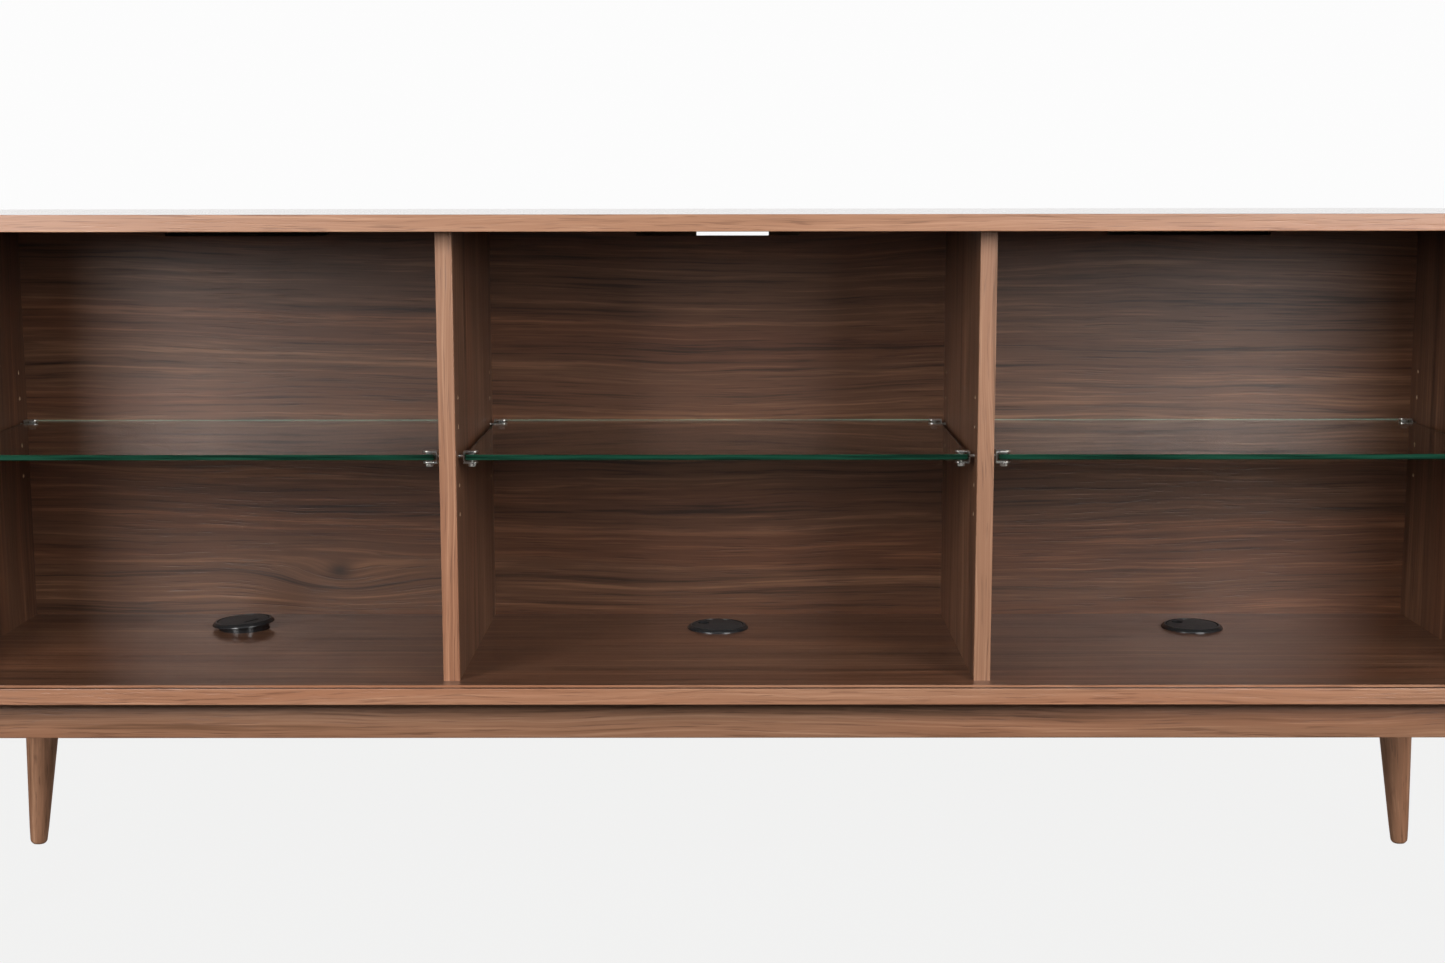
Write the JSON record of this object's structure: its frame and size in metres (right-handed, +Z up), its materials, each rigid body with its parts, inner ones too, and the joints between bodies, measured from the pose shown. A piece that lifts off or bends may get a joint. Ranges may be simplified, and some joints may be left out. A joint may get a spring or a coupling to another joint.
{
  "type": "sideboard",
  "caption": "Long low walnut sideboard with open bays, clamped glass shelves, wrap-round tambour doors parked open and splayed tapered legs.",
  "frame": {"origin": "on the floor, under the centre of the top and bottom panels", "axes": "+X along the length to the right, +Y from the open front to the back, +Z up"},
  "size_m": [1.83, 0.45, 0.806],
  "materials": {
    "veneered_panel": "satin lacquered walnut veneer, grain along the length",
    "veneered_upright": "satin lacquered walnut veneer, upright grain",
    "solid_edge_strip": "satin lacquered solid walnut, paler than the veneer",
    "apron_wood": "satin lacquered walnut",
    "turned_leg_wood": "satin lacquered turned walnut",
    "plain_hardwood": "bare beech",
    "tambour_wood": "satin lacquered walnut slats",
    "door_canvas": "glued cotton duck",
    "shelf_glass": "clear float glass with polished green edges",
    "clear_pad_plastic": "translucent soft plastic",
    "nickel_plate": "satin nickel plate",
    "black_grommet_plastic": "finely textured black plastic with glossy edges",
    "glide_plastic": "dark nylon",
    "zinc_fastener": "zinc plated steel"
  },
  "bodies": {
    "carcass": {"apron_cross_rails": "apron_wood", "back_panel": "veneered_panel", "back_screws": "zinc_fastener", "bottom_panel": "veneered_panel", "carcass_dowels": "plain_hardwood", "centre_clamp_pads": "clear_pad_plastic", "centre_grommet_liner": "black_grommet_plastic", "centre_shelf_clamps": "nickel_plate", "divider_edge_strips": "solid_edge_strip", "end_panel_edge_strips": "solid_edge_strip", "foot_glides": "glide_plastic", "front_apron": "apron_wood", "front_left_leg": "turned_leg_wood", "front_right_leg": "turned_leg_wood", "left_apron": "apron_wood", "left_clamp_pads": "clear_pad_plastic", "left_divider": "veneered_upright", "left_end_panel": "veneered_upright", "left_grommet_liner": "black_grommet_plastic", "left_lead_stile": "tambour_wood", "left_shelf_clamps": "nickel_plate", "left_tambour_canvas": "door_canvas", "left_tambour_slats": "tambour_wood", "leg_block_screws": "zinc_fastener", "leg_blocks": "plain_hardwood", "leg_hanger_bolts": "zinc_fastener", "leg_inserts": "zinc_fastener", "rear_apron": "apron_wood", "rear_left_leg": "turned_leg_wood", "rear_right_leg": "turned_leg_wood", "right_apron": "apron_wood", "right_clamp_pads": "clear_pad_plastic", "right_divider": "veneered_upright", "right_end_panel": "veneered_upright", "right_grommet_liner": "black_grommet_plastic", "right_lead_stile": "tambour_wood", "right_shelf_clamps": "nickel_plate", "right_tambour_canvas": "door_canvas", "right_tambour_slats": "tambour_wood", "top_panel": "veneered_panel"},
    "centre_bay_left_front_thumb_screw": {"centre_bay_left_front_thumb_screw": "nickel_plate"},
    "centre_bay_left_rear_thumb_screw": {"centre_bay_left_rear_thumb_screw": "nickel_plate"},
    "centre_bay_right_front_thumb_screw": {"centre_bay_right_front_thumb_screw": "nickel_plate"},
    "centre_bay_right_rear_thumb_screw": {"centre_bay_right_rear_thumb_screw": "nickel_plate"},
    "centre_glass_shelf": {"centre_glass_shelf": "shelf_glass"},
    "centre_grommet_cap": {"centre_grommet_cap": "black_grommet_plastic"},
    "left_bay_left_front_thumb_screw": {"left_bay_left_front_thumb_screw": "nickel_plate"},
    "left_bay_left_rear_thumb_screw": {"left_bay_left_rear_thumb_screw": "nickel_plate"},
    "left_bay_right_front_thumb_screw": {"left_bay_right_front_thumb_screw": "nickel_plate"},
    "left_bay_right_rear_thumb_screw": {"left_bay_right_rear_thumb_screw": "nickel_plate"},
    "left_glass_shelf": {"left_glass_shelf": "shelf_glass"},
    "left_grommet_cap": {"left_grommet_cap": "black_grommet_plastic"},
    "right_bay_left_front_thumb_screw": {"right_bay_left_front_thumb_screw": "nickel_plate"},
    "right_bay_left_rear_thumb_screw": {"right_bay_left_rear_thumb_screw": "nickel_plate"},
    "right_bay_right_front_thumb_screw": {"right_bay_right_front_thumb_screw": "nickel_plate"},
    "right_bay_right_rear_thumb_screw": {"right_bay_right_rear_thumb_screw": "nickel_plate"},
    "right_glass_shelf": {"right_glass_shelf": "shelf_glass"},
    "right_grommet_cap": {"right_grommet_cap": "black_grommet_plastic"}
  },
  "joints": [
    {"name": "left_shelf_slide", "type": "slide", "parent": "carcass", "child": "left_glass_shelf", "axis": [0, -1, 0], "range_m": [0, 0.34]},
    {"name": "left_bay_left_front_thumb_turn", "type": "hinge", "parent": "carcass", "child": "left_bay_left_front_thumb_screw", "pos_m": [-0.844, -0.161, 0.5365], "axis": [0, 0, -1], "range_deg": [0, 720]},
    {"name": "left_bay_left_rear_thumb_turn", "type": "hinge", "parent": "carcass", "child": "left_bay_left_rear_thumb_screw", "pos_m": [-0.844, 0.14, 0.5365], "axis": [0, 0, -1], "range_deg": [0, 720]},
    {"name": "left_bay_right_front_thumb_turn", "type": "hinge", "parent": "carcass", "child": "left_bay_right_front_thumb_screw", "pos_m": [-0.312, -0.161, 0.5365], "axis": [0, 0, -1], "range_deg": [0, 720]},
    {"name": "left_bay_right_rear_thumb_turn", "type": "hinge", "parent": "carcass", "child": "left_bay_right_rear_thumb_screw", "pos_m": [-0.312, 0.14, 0.5365], "axis": [0, 0, -1], "range_deg": [0, 720]},
    {"name": "left_grommet_cap_turn", "type": "hinge", "parent": "carcass", "child": "left_grommet_cap", "pos_m": [-0.5786, 0.083, 0.3075], "axis": [-0.061, 0, 0.9981], "continuous": true},
    {"name": "centre_shelf_slide", "type": "slide", "parent": "carcass", "child": "centre_glass_shelf", "axis": [0, -1, 0], "range_m": [0, 0.34]},
    {"name": "centre_bay_left_front_thumb_turn", "type": "hinge", "parent": "carcass", "child": "centre_bay_left_front_thumb_screw", "pos_m": [-0.266, -0.161, 0.5365], "axis": [0, 0, -1], "range_deg": [0, 720]},
    {"name": "centre_bay_left_rear_thumb_turn", "type": "hinge", "parent": "carcass", "child": "centre_bay_left_rear_thumb_screw", "pos_m": [-0.266, 0.14, 0.5365], "axis": [0, 0, -1], "range_deg": [0, 720]},
    {"name": "centre_bay_right_front_thumb_turn", "type": "hinge", "parent": "carcass", "child": "centre_bay_right_front_thumb_screw", "pos_m": [0.266, -0.161, 0.5365], "axis": [0, 0, -1], "range_deg": [0, 720]},
    {"name": "centre_bay_right_rear_thumb_turn", "type": "hinge", "parent": "carcass", "child": "centre_bay_right_rear_thumb_screw", "pos_m": [0.266, 0.14, 0.5365], "axis": [0, 0, -1], "range_deg": [0, 720]},
    {"name": "centre_grommet_cap_turn", "type": "hinge", "parent": "carcass", "child": "centre_grommet_cap", "pos_m": [0, 0.083, 0.301], "axis": [0, 0, 1], "continuous": true},
    {"name": "right_shelf_slide", "type": "slide", "parent": "carcass", "child": "right_glass_shelf", "axis": [0, -1, 0], "range_m": [0, 0.34]},
    {"name": "right_bay_left_front_thumb_turn", "type": "hinge", "parent": "carcass", "child": "right_bay_left_front_thumb_screw", "pos_m": [0.312, -0.161, 0.5365], "axis": [0, 0, -1], "range_deg": [0, 720]},
    {"name": "right_bay_left_rear_thumb_turn", "type": "hinge", "parent": "carcass", "child": "right_bay_left_rear_thumb_screw", "pos_m": [0.312, 0.14, 0.5365], "axis": [0, 0, -1], "range_deg": [0, 720]},
    {"name": "right_bay_right_front_thumb_turn", "type": "hinge", "parent": "carcass", "child": "right_bay_right_front_thumb_screw", "pos_m": [0.844, -0.161, 0.5365], "axis": [0, 0, -1], "range_deg": [0, 720]},
    {"name": "right_bay_right_rear_thumb_turn", "type": "hinge", "parent": "carcass", "child": "right_bay_right_rear_thumb_screw", "pos_m": [0.844, 0.14, 0.5365], "axis": [0, 0, -1], "range_deg": [0, 720]},
    {"name": "right_grommet_cap_turn", "type": "hinge", "parent": "carcass", "child": "right_grommet_cap", "pos_m": [0.578, 0.083, 0.301], "axis": [0, 0, 1], "continuous": true}
  ]
}
